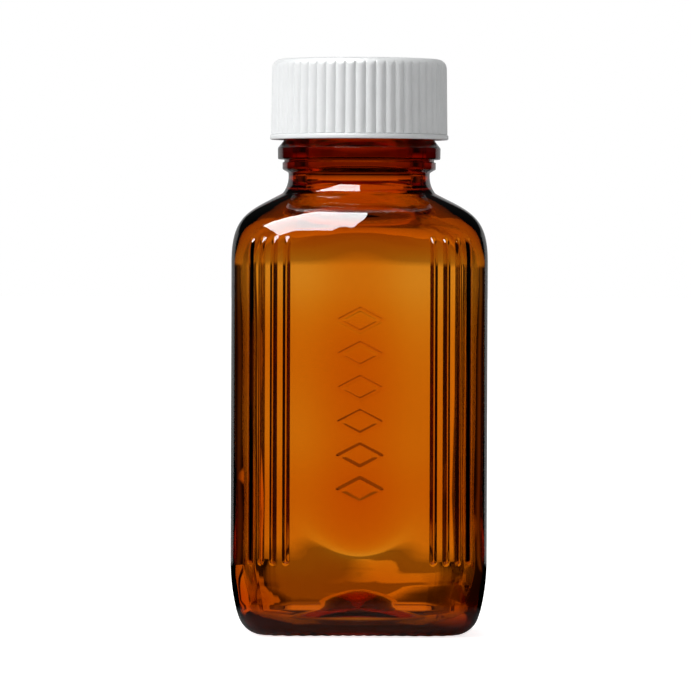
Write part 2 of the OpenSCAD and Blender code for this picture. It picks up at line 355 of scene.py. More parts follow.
def outside_rows():
    """Rows of the outer surface, from the middle of the base to the root of the thread."""
    rows = [(r, r, bump(r, HOLLOW_R, HOLLOW_H)) for r in np.linspace(1.2, HOLLOW_R - 0.4, 14)]
    heel = heel_outline()
    foot_x = heel[0][0]
    edge = HOLLOW_R + 0.3
    for i in range(4):
        t = i / 4
        half = edge + (foot_x - edge) * t
        foot_corner = CORNER_R - (HALF_W - foot_x)
        rows.append((half, half + (foot_corner - half) * t, 0.12 * (1 - min(1, 3 * t))))
    rows += [(x, CORNER_R - (HALF_W - x), z) for x, z in heel]
    rib_ends = [RIB_LOW_Z, RIB_LOW_Z + 0.5]
    for z in spread([HEEL_H + 0.2] + rib_ends + [PATCH_LOW_Z, PATCH_HIGH_Z, BODY_H - 1], WALL_ROW_GAP):
        rows.append((HALF_W, CORNER_R, z))
    foot = (WAIST_R + NECK_FLARE, NECK_Z)
    rows += shoulder_rows(HALF_W, BODY_H, CORNER_R, foot, SHOULDER_HOLD, SHOULDER_REACH, 34)[:-1]
    return rows + [(r, r, z) for r, z in neck_outline()]


def neck_outline():
    """Radius and height up the neck, its rings, the bead and the finish to the lip."""
    flare_r = arc_radius(NECK_FLARE, NECK_FLARE_H)
    angle = math.degrees(math.asin(NECK_FLARE_H / flare_r))
    flare = arc((WAIST_R + flare_r, NECK_Z + NECK_FLARE_H), flare_r, 180 + angle, 180, 9)
    ring_slope = RING_R - WAIST_R
    rings = rounded([
        (WAIST_R, NECK_Z + NECK_FLARE_H, 0),
        (WAIST_R, RING_Z - ring_slope / 2, 0.6),
        (RING_R, RING_Z + 0.1, 0.35),
        (RING_R, GROOVE_Z, 0.35),
        (GROOVE_R, GROOVE_Z + 0.05, 0.15),
        (GROOVE_R, BEAD_Z, 0.15),
        (BEAD_R - 0.05, BEAD_Z + 0.05, 0.4),
        (BEAD_R, BEAD_TOP_Z, 0.4),
        (FINISH_R, BEAD_TOP_Z + BEAD_SLOPE_H, 0.5),
        (FINISH_R, FINISH_FOOT_Z, 0)])
    return flare[:-1] + [tuple(p) for p in rings]


def finish_rows():
    """Rows of the finish, over the lip and down the bore."""
    low = FINISH_FOOT_Z + FINISH_ROW_GAP
    rows = [(FINISH_R, z) for z in np.arange(low, RIM_Z - LIP_R, FINISH_ROW_GAP)]
    rows += arc((FINISH_R - LIP_R, RIM_Z - LIP_R), LIP_R, 0, 90, 6)
    rows += arc((BORE_R + LIP_R, RIM_Z - LIP_R), LIP_R, 90, 180, 6)
    rows += [(BORE_R, z) for z in (RIM_Z - 4, RIM_Z - 9, RIM_Z - 15, RIM_Z - 21)]
    return [(r, r, z) for r, z in rows]


def inside_rows():
    """Rows of the inner surface, from the bore down to the middle of the floor."""
    half, corner = HALF_W - WALL, INNER_CORNER_R
    run = WAIST_R + NECK_FLARE - BORE_R
    foot_z = NECK_Z + run * math.tan(SHOULDER_SLOPE) - SHOULDER_T
    reach = SHOULDER_REACH + run / math.cos(SHOULDER_SLOPE)
    down = shoulder_rows(half, BODY_H - WALL / 2, corner, (BORE_R, foot_z), SHOULDER_HOLD, reach, 20)
    rows = [(BORE_R, BORE_R, foot_z + 1.2), (BORE_R + 0.1, BORE_R + 0.1, foot_z + 0.3)]
    rows += down[::-1][1:]
    arc_top = FLOOR_LOW_Z + FLOOR_R
    arc_x = FLOOR_FLAT + FLOOR_R
    for z in np.arange(BODY_H - 3, arc_top + 0.7, -INNER_ROW_GAP):
        x = half - (half - arc_x) * max(0, (HEEL_H - z) / (HEEL_H - arc_top)) ** 2
        rows.append((x, corner * x / half, z))
    for x, z in arc((FLOOR_FLAT, arc_top), FLOOR_R, 0, -90, 10):
        rows.append((x, corner * x / half, z))
    for x in np.linspace(FLOOR_FLAT, 0, 15)[1:-1]:
        rows.append((x, corner * x / half, FLOOR_LOW_Z + bump(x, FLOOR_DOME_R, FLOOR_RISE)))
    return rows


# Slow waves of the inner surface: height, turns of phase along x, y and z for each mm, and starting phase
WAVES = ((0.42, 0.06, 0, 0.115, 1.3), (0.3, 0, 0.04, -0.16, 0.4), (0.2, 0.09, -0.08, 0.083, 0),
         (0.14, 0.1, 0, 0.21, 2.1))
RIPPLE_DEPTH = 0.2
RIPPLE_FROM_Z = 8
PANEL_SWELL = 0.1
CORNER_THINNING = 0.4
# Where the wall has run thicker or thinner up a panel: amount, height and reach
TOP_RUN = (-0.6, 82, 12)
LOW_RUN = (0.35, 31, 8)
FOOT_RUN = (-1.1, 18, 4)
FOOT_RUN_HALF_W = 10
FOOT_RUN_CURVE = 0.03
RUNS_FROM_Z = 9
INNER_WAVES_FADE = 6
INNER_WAVES_TO_Z = BODY_H + 8
INNER_WAVES_TOP_FADE = 8


def ripple(x, y, z):
    """Slow waves of blown glass, between about -1 and 1."""
    return sum(height * np.sin(per_x * x + per_y * y + per_z * z + phase)
               for height, per_x, per_y, per_z, phase in WAVES)


def run_of_glass(run, z):
    amount, middle, reach = run
    return amount * np.exp(-((z - middle) / reach) ** 2)


def extra_glass(across, z):
    """How much thicker than usual the wall has run, over one panel."""
    foot_z = z - FOOT_RUN_CURVE * across ** 2
    foot = run_of_glass(FOOT_RUN, foot_z) * np.exp(-(across / FOOT_RUN_HALF_W) ** 2)
    return run_of_glass(TOP_RUN, z) + run_of_glass(LOW_RUN, z) + foot


def inner_push(s, angles, points):
    """How far inward of its plain form the inner surface lies."""
    x, y, z = np.moveaxis(points, -1, 0)
    off_diagonal = np.abs(np.mod(angles + math.pi / 4, math.pi / 2) - math.pi / 4)
    middle = np.cos(np.clip(2 * off_diagonal, 0, 1) * math.pi / 2) ** 2
    across = (s + SIDE_LENGTH / 2) % SIDE_LENGTH - SIDE_LENGTH / 2
    thicker = extra_glass(across, z) + PANEL_SWELL * middle - CORNER_THINNING * (1 - middle)
    fade = smooth_step((z - RUNS_FROM_Z) / INNER_WAVES_FADE)
    fade = fade * smooth_step((INNER_WAVES_TO_Z - z) / INNER_WAVES_TOP_FADE)
    sway = ripple(x, y, z) * RIPPLE_DEPTH * smooth_step((z - RIPPLE_FROM_Z) / INNER_WAVES_FADE)
    return (sway + thicker * fade) * (z < INNER_WAVES_TO_Z)


SEAM_RISE = 0.1
SEAM_HALF_W = 0.3
SEAM_LOW_Z = 3.3
SEAM_FADE = 0.5
FOOT_NOTCHES = 60
FOOT_NOTCH_DEPTH = 0.22
FOOT_OUTER_R = 24.2


def relief_height(x, z):
    """Height of the lozenge lines above the front panel."""
    far = np.full(np.broadcast(x, z).shape, 1e3)
    for i in range(MARK_COUNT):
        zc = z - (MARK_Z + MARK_PITCH * (i - (MARK_COUNT - 1) / 2))
        w, h = MARK_W / 2 - MARK_HALF_LINE, MARK_H / 2 - MARK_HALF_LINE
        # Folding both ways leaves one straight side, from (w, 0) to (0, h)
        u, v = np.abs(x), np.abs(zc)
        t = np.clip(((w - u) * w + v * h) / (w * w + h * h), 0, 1)
        far = np.minimum(far, np.hypot(u - w * (1 - t), v - h * t))
    return ridge(far, MARK_HALF_LINE, MARK_RISE, MARK_TIP)


def around(s, place):
    """Distance along the perimeter from a place, to either side of it."""
    return (s - place + PERIMETER / 2) % PERIMETER - PERIMETER / 2


def outer_relief(s, z):
    """How far the ribs and the seams stand out of the outer surface."""
    beyond = np.maximum(np.maximum(RIB_LOW_Z - z, z - RIB_HIGH_Z), 0)
    above_foot = smooth_step((z - SEAM_LOW_Z) / SEAM_FADE)
    ribs = [ridge(np.hypot(around(s, place), beyond), RIB_HALF_W, RIB_RISE, RIB_TIP) for place in RIB_PLACES]
    seams = [bump(around(s, place), SEAM_HALF_W, SEAM_RISE) * above_foot for place in SEAM_PLACES]
    return sum(ribs) + sum(seams)


def finish_thread(angles, points):
    """How far the thread stands out of the finish."""
    z = points[:, :, 2]
    on_root = np.hypot(points[:, :, 0], points[:, :, 1]) > FINISH_R - 0.01
    rise = thread_height(np.broadcast_to(angles, z.shape), z, RIM_Z - THREAD_DROP, THREAD_TURNS,
                         THREAD_ROOT_W, THREAD_CREST_W, THREAD_R - FINISH_R)
    return rise * (on_root & (z > BEAD_TOP_Z + BEAD_SLOPE_H))


def foot_notches(angles, half):
    """Depth of the notches across the ring that the bottle stands on, at rows of these half widths."""
    notch = 0.5 - 0.5 * np.cos(FOOT_NOTCHES * angles)
    on_ring = smooth_step((half - HOLLOW_R - 0.4) / 0.8) * smooth_step((FOOT_OUTER_R - half) / 2.2)
    return FOOT_NOTCH_DEPTH * notch * on_ring


def bottle_points():
    """Columns, rows and points of the glass, from the middle of the base over the rim to the floor inside."""
    s = wall_columns()
    wall = np.array([wall_point(p)[0] for p in s])
    normal = np.array([wall_point(p)[1] for p in s])
    angles = np.arctan2(wall[:, 1], wall[:, 0])
    outer, finish = outside_rows(), finish_rows()
    rows = outer + finish + inside_rows()
    points = np.zeros((len(rows), len(s), 3))
    for i, (half, corner, z) in enumerate(rows):
        radius = section_radius(half, corner, angles)
        points[i, :, 0] = radius * np.cos(angles)
        points[i, :, 1] = radius * np.sin(angles)
        points[i, :, 2] = z
    z = points[:, :, 2]
    row = np.arange(len(rows))[:, None]
    outside = row < len(outer)
    inside = row >= len(outer) + len(finish)
    push = outer_relief(s, z) * outside
    push += finish_thread(angles, points) * ~inside
    push -= inner_push(s, angles, points) * inside
    half = np.array([r[0] for r in rows])[:, None]
    lift = foot_notches(angles, half) * outside * (z < 2)
    points[:, :, :2] += push[:, :, None] * normal
    points[:, :, 2] += lift
    return s, rows, points


def front_patch(points, s, rows):
    """Fine grid on the front panel for the raised lines, and the faces that join it to the coarse grid."""
    columns = len(s)
    left = int(np.argmin(np.abs(s - (FRONT_MIDDLE - PATCH_HALF_W))))
    right = int(np.argmin(np.abs(s - (FRONT_MIDDLE + PATCH_HALF_W))))
    wall_rows = [i for i, r in enumerate(rows) if r[0] == HALF_W]
    low = min(wall_rows, key=lambda i: abs(rows[i][2] - PATCH_LOW_Z))
    high = min(wall_rows, key=lambda i: abs(rows[i][2] - PATCH_HIGH_Z))
    xs = spread([s[j] - FRONT_MIDDLE for j in range(left, right + 1)], PATCH_GAP)
    zs = spread([rows[i][2] for i in range(low, high + 1)], PATCH_GAP)
    gx, gz = np.meshgrid(xs, zs)
    extra = np.stack([gx, -HALF_W - relief_height(gx, gz), gz], -1)
    first = points.shape[0] * points.shape[1]
    ids = first + np.arange(gx.size).reshape(gx.shape)
    for i in range(low, high + 1):
        for j in range(left, right + 1):
            if i in (low, high) or j in (left, right):
                a = int(np.argmin(np.abs(zs - rows[i][2])))
                b = int(np.argmin(np.abs(xs - (s[j] - FRONT_MIDDLE))))
                ids[a, b] = i * columns + j
    faces = [(ids[a, b], ids[a, b + 1], ids[a + 1, b + 1], ids[a + 1, b])
             for a in range(len(zs) - 1) for b in range(len(xs) - 1)]

    def between(values, start, end):
        return [k for k, v in enumerate(values) if start + 1e-6 < v < end - 1e-6]

    def edge_ring(i, j):
        """Corners of a coarse cell beside the patch, with the patch's own points along the shared edge."""
        ring = []
        corners = [(i, j), (i, j + 1), (i + 1, j + 1), (i + 1, j)]
        for (a, b), (c, d) in zip(corners, corners[1:] + corners[:1]):
            ring.append(a * columns + b)
            if a == c and a in (low, high) and left <= min(b, d) and max(b, d) <= right:
                x0, x1 = s[b] - FRONT_MIDDLE, s[d] - FRONT_MIDDLE
                line = [ids[0 if a == low else -1, k] for k in between(xs, min(x0, x1), max(x0, x1))]
                ring += line if x1 > x0 else line[::-1]
            if b == d and b in (left, right) and low <= min(a, c) and max(a, c) <= high:
                z0, z1 = rows[a][2], rows[c][2]
                line = [ids[k, 0 if b == left else -1] for k in between(zs, min(z0, z1), max(z0, z1))]
                ring += line if z1 > z0 else line[::-1]
        return tuple(ring)

    inside = {(i, j) for i in range(low, high) for j in range(left, right)}
    beside = {(i, j) for i in (low - 1, high) for j in range(left, right)}
    beside |= {(i, j) for j in (left - 1, right) for i in range(low, high)}
    faces += [edge_ring(i, j) for i, j in sorted(beside)]
    return extra.reshape(-1, 3), faces, inside | beside


def drop_loose(points, faces):
    """Leaves out the points that no face uses."""
    used = np.unique(np.concatenate([np.array(f) for f in faces]))
    new = np.full(len(points), -1)
    new[used] = np.arange(len(used))
    return points[used], [tuple(new[list(f)]) for f in faces]


def make_bottle(material):
    s, rows, points = bottle_points()
    columns = len(s)
    extra, patch_faces, skipped = front_patch(points, s, rows)
    faces = sheet_faces(len(rows), columns, lambda i, j: (i, j) in skipped) + patch_faces
    flat = np.concatenate([points.reshape(-1, 3), extra])
    base, floor = len(flat), len(flat) + 1
    flat = np.concatenate([flat, [[0, 0, HOLLOW_H], [0, 0, FLOOR_LOW_Z + FLOOR_RISE]]])
    last = (len(rows) - 1) * columns
    faces += [(base, (j + 1) % columns, j) for j in range(columns)]
    faces += [(floor, last + j, last + (j + 1) % columns) for j in range(columns)]
    flat, faces = drop_loose(flat, faces)
    return make_mesh("glass_bottle", flat, faces, material)


def cap_rows():
    """Rows (radius, height, kind) over the cap: the top, its edge, the skirt, the band, then up inside."""
    ridge_r = CAP_GROOVE_R + CAP_GROOVE_DEPTH
    top_r = ridge_r - (CAP_TOP_Z - SKIRT_Z) * CAP_DRAFT
    rows = [(r, CAP_TOP_Z - CAP_TOP_DIP * (1 - (r / CAP_TOP_DIP_R) ** 2), "top") for r in CAP_TOP_ROWS]
    edge = arc((top_r - CAP_EDGE_R, CAP_TOP_Z - CAP_EDGE_R), CAP_EDGE_R, 90, 0, 16)
    rows += [(r, z, "side") for r, z in edge]
    band_z = SKIRT_Z + BAND_H
    side_z = [*np.linspace(CAP_TOP_Z - CAP_EDGE_R - 1.2, band_z + 0.5, 7), band_z + 0.25, band_z + 0.12]
    rows += [(top_r + (CAP_TOP_Z - z) * CAP_DRAFT, z, "side") for z in side_z]
    band_r = ridge_r + BAND_RISE
    rows.append((CAP_GROOVE_R + 0.1, band_z + 0.08, "line"))
    rows.append((CAP_GROOVE_R + 0.1, band_z - 0.02, "line"))
    rows += [(band_r - 0.12, band_z - 0.06, "band"), (band_r, band_z - 0.2, "band"),
             (band_r, SKIRT_Z + 0.25, "band"), (band_r - 0.08, SKIRT_Z + 0.08, "band"),
             (band_r - 0.25, SKIRT_Z, "band"), (CAP_BORE_R + 0.3, SKIRT_Z, "band")]
    ceiling = CAP_TOP_Z - CAP_TOP_T
    rows.append((CAP_BORE_R, SKIRT_Z + 0.3, "bore"))
    rows += [(CAP_BORE_R, z, "bore") for z in np.arange(SKIRT_Z + 0.8, ceiling - 2.2, 0.34)]
    rows += [(CAP_BORE_R, ceiling - 1.6, "ceiling"), (CAP_BORE_R, ceiling, "ceiling")]
    rows += [(r, ceiling, "ceiling") for r in (15, 8, 2)]
    return rows


def make_cap(material):
    shares = np.array([0, 0.05, 0.13, 0.26, 0.42, 0.58, 0.74, 0.87, 0.95])
    columns = len(shares) * CAP_GROOVES
    share = np.tile(shares, CAP_GROOVES)
    angles = (np.repeat(np.arange(CAP_GROOVES), len(shares)) + share) * 2 * math.pi / CAP_GROOVES
    rows = cap_rows()
    depth = CAP_GROOVE_DEPTH * (1 - np.sin(math.pi * share) ** CAP_GROOVE_POWER)
    thread_z = RIM_Z - THREAD_DROP - CAP_THREAD_BELOW
    points = np.zeros((len(rows), columns, 3))
    for i, (r, z, kind) in enumerate(rows):
        radius = np.full(columns, r, float)
        if kind == "side":
            skin = CAP_GROOVE_R + CAP_GROOVE_DEPTH - (z - SKIRT_Z) * CAP_DRAFT - depth
            radius = np.minimum(radius, skin)
        if kind == "bore":
            radius -= thread_height(angles, np.full(columns, z), thread_z, CAP_THREAD_TURNS,
                                    CAP_THREAD_ROOT_W, CAP_THREAD_CREST_W, CAP_THREAD_RISE)
        points[i] = np.stack([radius * np.cos(angles), radius * np.sin(angles), np.full(columns, z)], -1)
    flat = np.concatenate([points.reshape(-1, 3),
                           [[0, 0, CAP_TOP_Z - CAP_TOP_DIP], [0, 0, CAP_TOP_Z - CAP_TOP_T]]])
    faces = [f[::-1] for f in sheet_faces(len(rows), columns)]
    last = (len(rows) - 1) * columns
    top, under = len(flat) - 2, len(flat) - 1
    faces += [(top, j, (j + 1) % columns) for j in range(columns)]
    faces += [(under, last + (j + 1) % columns, last + j) for j in range(columns)]
    return make_mesh("ribbed_cap", flat, faces, material)


def new_material(name):
    material = bpy.data.materials.new(name)
    material.use_nodes = True
    nodes = material.node_tree.nodes
    return material, nodes, material.node_tree.links, nodes["Principled BSDF"]


# Most of a noise lies between these values
NOISE_LOW = 0.3
NOISE_HIGH = 0.7


def add_noise(nodes, links, scale, detail, low=0, high=1):
    """Noise over the object's own coordinates, mapped between two values."""
    place = nodes.new("ShaderNodeTexCoord")
    noise = nodes.new("ShaderNodeTexNoise")
    noise.inputs["Scale"].default_value = scale
    noise.inputs["Detail"].default_value = detail
    spread_out = nodes.new("ShaderNodeMapRange")
    spread_out.inputs["From Min"].default_value = NOISE_LOW
    spread_out.inputs["From Max"].default_value = NOISE_HIGH
    spread_out.inputs["To Min"].default_value = low
    spread_out.inputs["To Max"].default_value = high
    links.new(place.outputs["Object"], noise.inputs["Vector"])
    links.new(noise.outputs["Fac"], spread_out.inputs["Value"])
    return spread_out.outputs["Result"]


def mottle(nodes, links, factor, first, second):
    """Colour that goes from the first to the second as the factor goes from 0 to 1."""
    ramp = nodes.new("ShaderNodeValToRGB")
    ramp.color_ramp.elements[0].color = (*first, 1)
    ramp.color_ramp.elements[1].color = (*second, 1)
    links.new(factor, ramp.inputs["Fac"])
    return ramp.outputs["Color"]


def add_dents(nodes, links, shader, height, strength, distance):
    """Fine unevenness of the skin; the distance, in metres, is what a height of 1 stands for."""
    dents = nodes.new("ShaderNodeBump")
    dents.inputs["Strength"].default_value = strength
    dents.inputs["Distance"].default_value = distance
    links.new(height, dents.inputs["Height"])
    links.new(dents.outputs["Normal"], shader.inputs["Normal"])


GLASS_IOR = 1.52
ABSORPTION = (0.928, 0.68, 0.0)
ABSORPTION_DENSITY = 1150
# Darkest and lightest tone of the mottled materials
CAP_TONES = ((0.84, 0.857, 0.862), (0.88, 0.897, 0.902))
FOAM_TONES = ((0.74, 0.71, 0.65), (0.86, 0.84, 0.8))
FILM_TONE = (0.86, 0.86, 0.83)


def amber_glass():
    """Clear amber glass: its colour is in its thickness, and its skin has the slight waves of fire polish."""
    material, nodes, links, shader = new_material("amber_glass")
    shader.inputs["Base Color"].default_value = (1, 1, 1, 1)
    shader.inputs["Transmission Weight"].default_value = 1
    shader.inputs["IOR"].default_value = GLASS_IOR
    shader.inputs["Roughness"].default_value = 0
    add_dents(nodes, links, shader, add_noise(nodes, links, 110, 1), 0.07, 0.00012)
    volume = nodes.new("ShaderNodeVolumeAbsorption")
    volume.inputs["Color"].default_value = (*ABSORPTION, 1)
    volume.inputs["Density"].default_value = ABSORPTION_DENSITY
    links.new(volume.outputs["Volume"], nodes["Material Output"].inputs["Volume"])
    return material


def cap_plastic():
    """White moulded polypropylene with a fine skin and faint handling marks."""
    material, nodes, links, shader = new_material("cap_plastic")
    marks = add_noise(nodes, links, 160, 4)
    links.new(mottle(nodes, links, marks, *CAP_TONES), shader.inputs["Base Color"])
    links.new(add_noise(nodes, links, 420, 5, 0.34, 0.5), shader.inputs["Roughness"])
    shader.inputs["Subsurface Weight"].default_value = 0.15
    shader.inputs["Subsurface Radius"].default_value = (0.002, 0.002, 0.002)
    shader.inputs["Subsurface Scale"].default_value = 1
    add_dents(nodes, links, shader, add_noise(nodes, links, 1500, 3), 0.3, 0.00008)
    return material


def liner_foam():
    """Off-white foamed disc with fine closed cells."""
    material, nodes, links, shader = new_material("liner_foam")
    cells = add_noise(nodes, links, 1400, 3)
    links.new(mottle(nodes, links, cells, *FOAM_TONES), shader.inputs["Base Color"])
    shader.inputs["Roughness"].default_value = 0.9
    add_dents(nodes, links, shader, add_noise(nodes, links, 2600, 2), 0.5, 0.0001)
    return material


def liner_film():
    """Smooth pale film with slight waves where the rim has pressed it."""
    material, nodes, links, shader = new_material("liner_film")
    shader.inputs["Base Color"].default_value = (*FILM_TONE, 1)
    links.new(add_noise(nodes, links, 300, 3, 0.22, 0.36), shader.inputs["Roughness"])
    add_dents(nodes, links, shader, add_noise(nodes, links, 240, 2), 0.2, 0.0002)
    return material


# Photograph's view: distance, height and the width of the picture at the bottle's axis, in metres
VIEW_DISTANCE = 1.61
VIEW_HEIGHT = 0.0808
VIEW_WIDTH = 0.1589
VIEW_AIM_Z = 0.0658
VIEW_SIDE = -0.003
VIEW_TURN = math.radians(-0.6)
VIEW_ROLL = math.radians(0.2)


def make_camera():
    data = bpy.data.cameras.new("photo_view")
    data.sensor_width = 36
    data.lens = data.sensor_width * VIEW_DISTANCE / VIEW_WIDTH
    data.clip_start = 0.05
    camera = bpy.data.objects.new("photo_view", data)
    bpy.context.scene.collection.objects.link(camera)
    right = Vector((math.cos(VIEW_TURN), math.sin(VIEW_TURN), 0))
    back = Vector((math.sin(VIEW_TURN), -math.cos(VIEW_TURN), 0))
    aim = right * VIEW_SIDE + Vector((0, 0, VIEW_AIM_Z))
    camera.location = aim + back * VIEW_DISTANCE + Vector((0, 0, VIEW_HEIGHT - VIEW_AIM_Z))
    look = (aim - camera.location).to_track_quat("-Z", "Y").to_matrix()
    camera.rotation_euler = (look @ Matrix.Rotation(VIEW_ROLL, 3, "Z")).to_euler()
    bpy.context.scene.camera = camera


# Brightness of the surroundings: for matt surfaces, in mirror images of what is behind the bottle and of the
# rest, and through the glass wherever there is no opening
AMBIENT = 0.36
BEHIND_GLOSS = 0.35
FRONT_GLOSS = 0.01
DARK = 0.02
# Sectors are a middle azimuth and a half width in degrees. The glass shows dim openings, each of its own
# level, beside the white card that stands behind the front, and a white one behind the view from the right
EDGE_FADE = 4
DIM_OPENINGS = ((130, 9, 0.1), (50, 7, 0.18))
DIM_FADE = 12
BEHIND_SIDE = (180, 14)
OPENINGS_TOP = 24
# Behind these corners only the floor is bright: how far out and at what level are the last two numbers
BEHIND_CORNERS = ((135, 18, 0.28, 0.75), (315, 18, 0.5, 1))
# Light from high up behind the bottle, through the glass, from this climb in degrees on
OVERHEAD = (90, 70)
OVERHEAD_FROM = 4
OVERHEAD_FADE = 3
OVERHEAD_LEVEL = 0.55
# Part of the surroundings behind the bottle that its sides mirror, with its lowest and highest climb
MIRRORED = (90, 38)
MIRRORED_LOW = -8
MIRRORED_HIGH = 14


class Maths:
    """Builds Math nodes in one node tree."""

    def __init__(self, tree):
        self.nodes, self.links = tree.nodes, tree.links

    def do(self, operation, a, b=None):
        node = self.nodes.new("ShaderNodeMath")
        node.operation = operation
        for socket, value in zip(node.inputs, (a, b)):
            if isinstance(value, (int, float)):
                socket.default_value = value
            elif value is not None:
                self.links.new(value, socket)
        return node.outputs[0]

    def times(self, first, *others):
        for other in others:
            first = self.do("MULTIPLY", first, other)
        return first

    def most(self, first, *others):
        for other in others:
            first = self.do("MAXIMUM", first, other)
        return first

    def scaled(self, value, low, high):
        """From low, where the value is 0, to high, where it is 1."""
        return self.do("ADD", self.times(value, high - low), low)

    def inside(self, value, fade):
        """1 where the value is above 0 and 0 where it is below, over a soft edge."""
        soft = self.do("ADD", self.do("DIVIDE", value, fade), 0.5)
        return self.do("MINIMUM", self.do("MAXIMUM", soft, 0), 1)

    def above(self, value, limit, fade):
        return self.inside(self.do("SUBTRACT", value, limit), fade)

    def below(self, value, limit, fade):
        return self.inside(self.do("SUBTRACT", limit, value), fade)

    def between(self, value, low, high, fade):
        return self.times(self.above(value, low, fade), self.below(value, high, fade))

    def sector(self, azimuth, middle, half_width, fade=EDGE_FADE):
        turned = self.do("FLOORED_MODULO", self.do("ADD", azimuth, 180 - middle), 360)
        return self.below(self.do("ABSOLUTE", self.do("SUBTRACT", turned, 180)), half_width, fade)

    def azimuth(self, x, y):
        return self.times(self.do("ARCTAN2", y, x), 180 / math.pi)

    def where(self, coordinates):
        """Sockets of x, y and z in the named coordinates."""
        source = self.nodes.new("ShaderNodeTexCoord")
        split = self.nodes.new("ShaderNodeSeparateXYZ")
        self.links.new(source.outputs[coordinates], split.inputs[0])
        return split.outputs

    def rays(self):
        """Sockets that are 1 for rays of the camera and of diffuse, bent and mirrored light."""
        path = self.nodes.new("ShaderNodeLightPath").outputs
        bent = path["Is Transmission Ray"]
        # A ray that a clear surface has bent counts as glossy too, so it is left out of the mirrored ones
        mirrored = self.times(path["Is Glossy Ray"], self.do("SUBTRACT", 1, bent))
        return path["Is Camera Ray"], path["Is Diffuse Ray"], bent, mirrored


def dim_openings(maths, azimuth):
    return [maths.times(maths.sector(azimuth, middle, half_width, DIM_FADE), level)
            for middle, half_width, level in DIM_OPENINGS]


def make_world():
    """White to the camera, openings of white in the dark through glass, and dim light all round."""
    world = bpy.data.worlds.new("studio")
    bpy.context.scene.world = world
    world.use_nodes = True
    background = world.node_tree.nodes["Background"]
    background.inputs["Color"].default_value = (1, 1, 1, 1)
    maths = Maths(world.node_tree)
    x, y, z = maths.where("Generated")
    azimuth = maths.azimuth(x, y)
    climb = maths.times(maths.do("ARCSINE", z), 180 / math.pi)
    openings = maths.most(maths.sector(azimuth, *BEHIND_SIDE), *dim_openings(maths, azimuth))
    openings = maths.times(openings, maths.below(climb, OPENINGS_TOP, EDGE_FADE))
    overhead = maths.times(maths.above(climb, OVERHEAD_FROM, OVERHEAD_FADE),
                           maths.sector(azimuth, *OVERHEAD, OVERHEAD_FADE), OVERHEAD_LEVEL)
    behind = maths.times(maths.between(climb, MIRRORED_LOW, MIRRORED_HIGH, EDGE_FADE),
                         maths.sector(azimuth, *MIRRORED))
    camera, diffuse, bent, mirrored = maths.rays()
    total = maths.do("ADD", camera, maths.times(diffuse, AMBIENT))
    total = maths.do("ADD", total, maths.times(mirrored, maths.scaled(behind, FRONT_GLOSS, BEHIND_GLOSS)))
    total = maths.do("ADD", total, maths.times(bent, maths.scaled(maths.most(openings, overhead), DARK, 1)))
    world.node_tree.links.new(total, background.inputs["Strength"])


def make_sheet(name, corners, material):
    """An object of one face, for the floor and the cards."""
    mesh = bpy.data.meshes.new(name)
    mesh.from_pydata(corners, [], [(0, 1, 2, 3)])
    mesh.materials.append(material)
    sheet = bpy.data.objects.new(name, mesh)
    bpy.context.scene.collection.objects.link(sheet)
    return sheet


FLOOR_TONE = 0.8
FLOOR_HALF = 30
FLOOR_DROP = 0.0002
# The camera sees the floor glow from this level at the bottle to the backdrop's white this far out
FLOOR_NEAR_GLOW = 0.8
FLOOR_FAR = 1.2
# Through the front the glass shows a half bright strip of floor back to the card, with a bright patch in it
STRIP_FROM = 0.065
STRIP_FROM_FADE = 0.045
STRIP_LEVEL = 0.42
STRIP_HALF = 0.03
STRIP_FADE = 0.014
PATCH_X = (0.001, 0.022)
PATCH_Y = (0.06, 0.125)
PATCH_FADE = 0.012
# Straight under the bottle the floor has this level, and farther out it is bright in the other sectors
UNDER_TO = 0.014
UNDER_FADE = 0.006
UNDER_LEVEL = 0.35
OTHERS_FROM = 0.034
OTHERS_FROM_FADE = 0.012
DIM_OPENINGS_FROM = 0.15
DIM_OPENINGS_FROM_FADE = 0.1
CORNER_FADE = 0.02
# Brightness of the floor in mirror images: dimmed from close to the bottle on, and glowing far behind it
MIRRORED_FLOOR_LEVEL = 0.35
MIRRORED_FLOOR_TO = 0.042
MIRRORED_FLOOR_FADE = 0.016
MIRRORED_FLOOR_FROM = 0.35
MIRRORED_FLOOR_FROM_FADE = 0.1


def floor_through_glass(maths, x, y, far_out, azimuth):
    """Brightness of the floor as the glass shows it, between 0 and 1."""
    patch = maths.times(maths.between(x, *PATCH_X, PATCH_FADE), maths.between(y, *PATCH_Y, PATCH_FADE))
    strip = maths.times(maths.between(x, -STRIP_HALF, STRIP_HALF, STRIP_FADE),
                        maths.inside(y, STRIP_FROM_FADE), maths.scaled(patch, STRIP_LEVEL, 1),
                        maths.above(far_out, STRIP_FROM, STRIP_FROM_FADE))
    far = maths.above(far_out, DIM_OPENINGS_FROM, DIM_OPENINGS_FROM_FADE)
    others = [maths.sector(azimuth, *BEHIND_SIDE)]
    others += [maths.times(opening, far) for opening in dim_openings(maths, azimuth)]
    for middle, half_width, reach, level in BEHIND_CORNERS:
        near = maths.below(far_out, reach, CORNER_FADE)
        others.append(maths.times(maths.sector(azimuth, middle, half_width), near, level))
    others = maths.times(maths.most(*others), maths.above(far_out, OTHERS_FROM, OTHERS_FROM_FADE))
    return maths.most(strip, others, maths.times(maths.below(far_out, UNDER_TO, UNDER_FADE), UNDER_LEVEL))


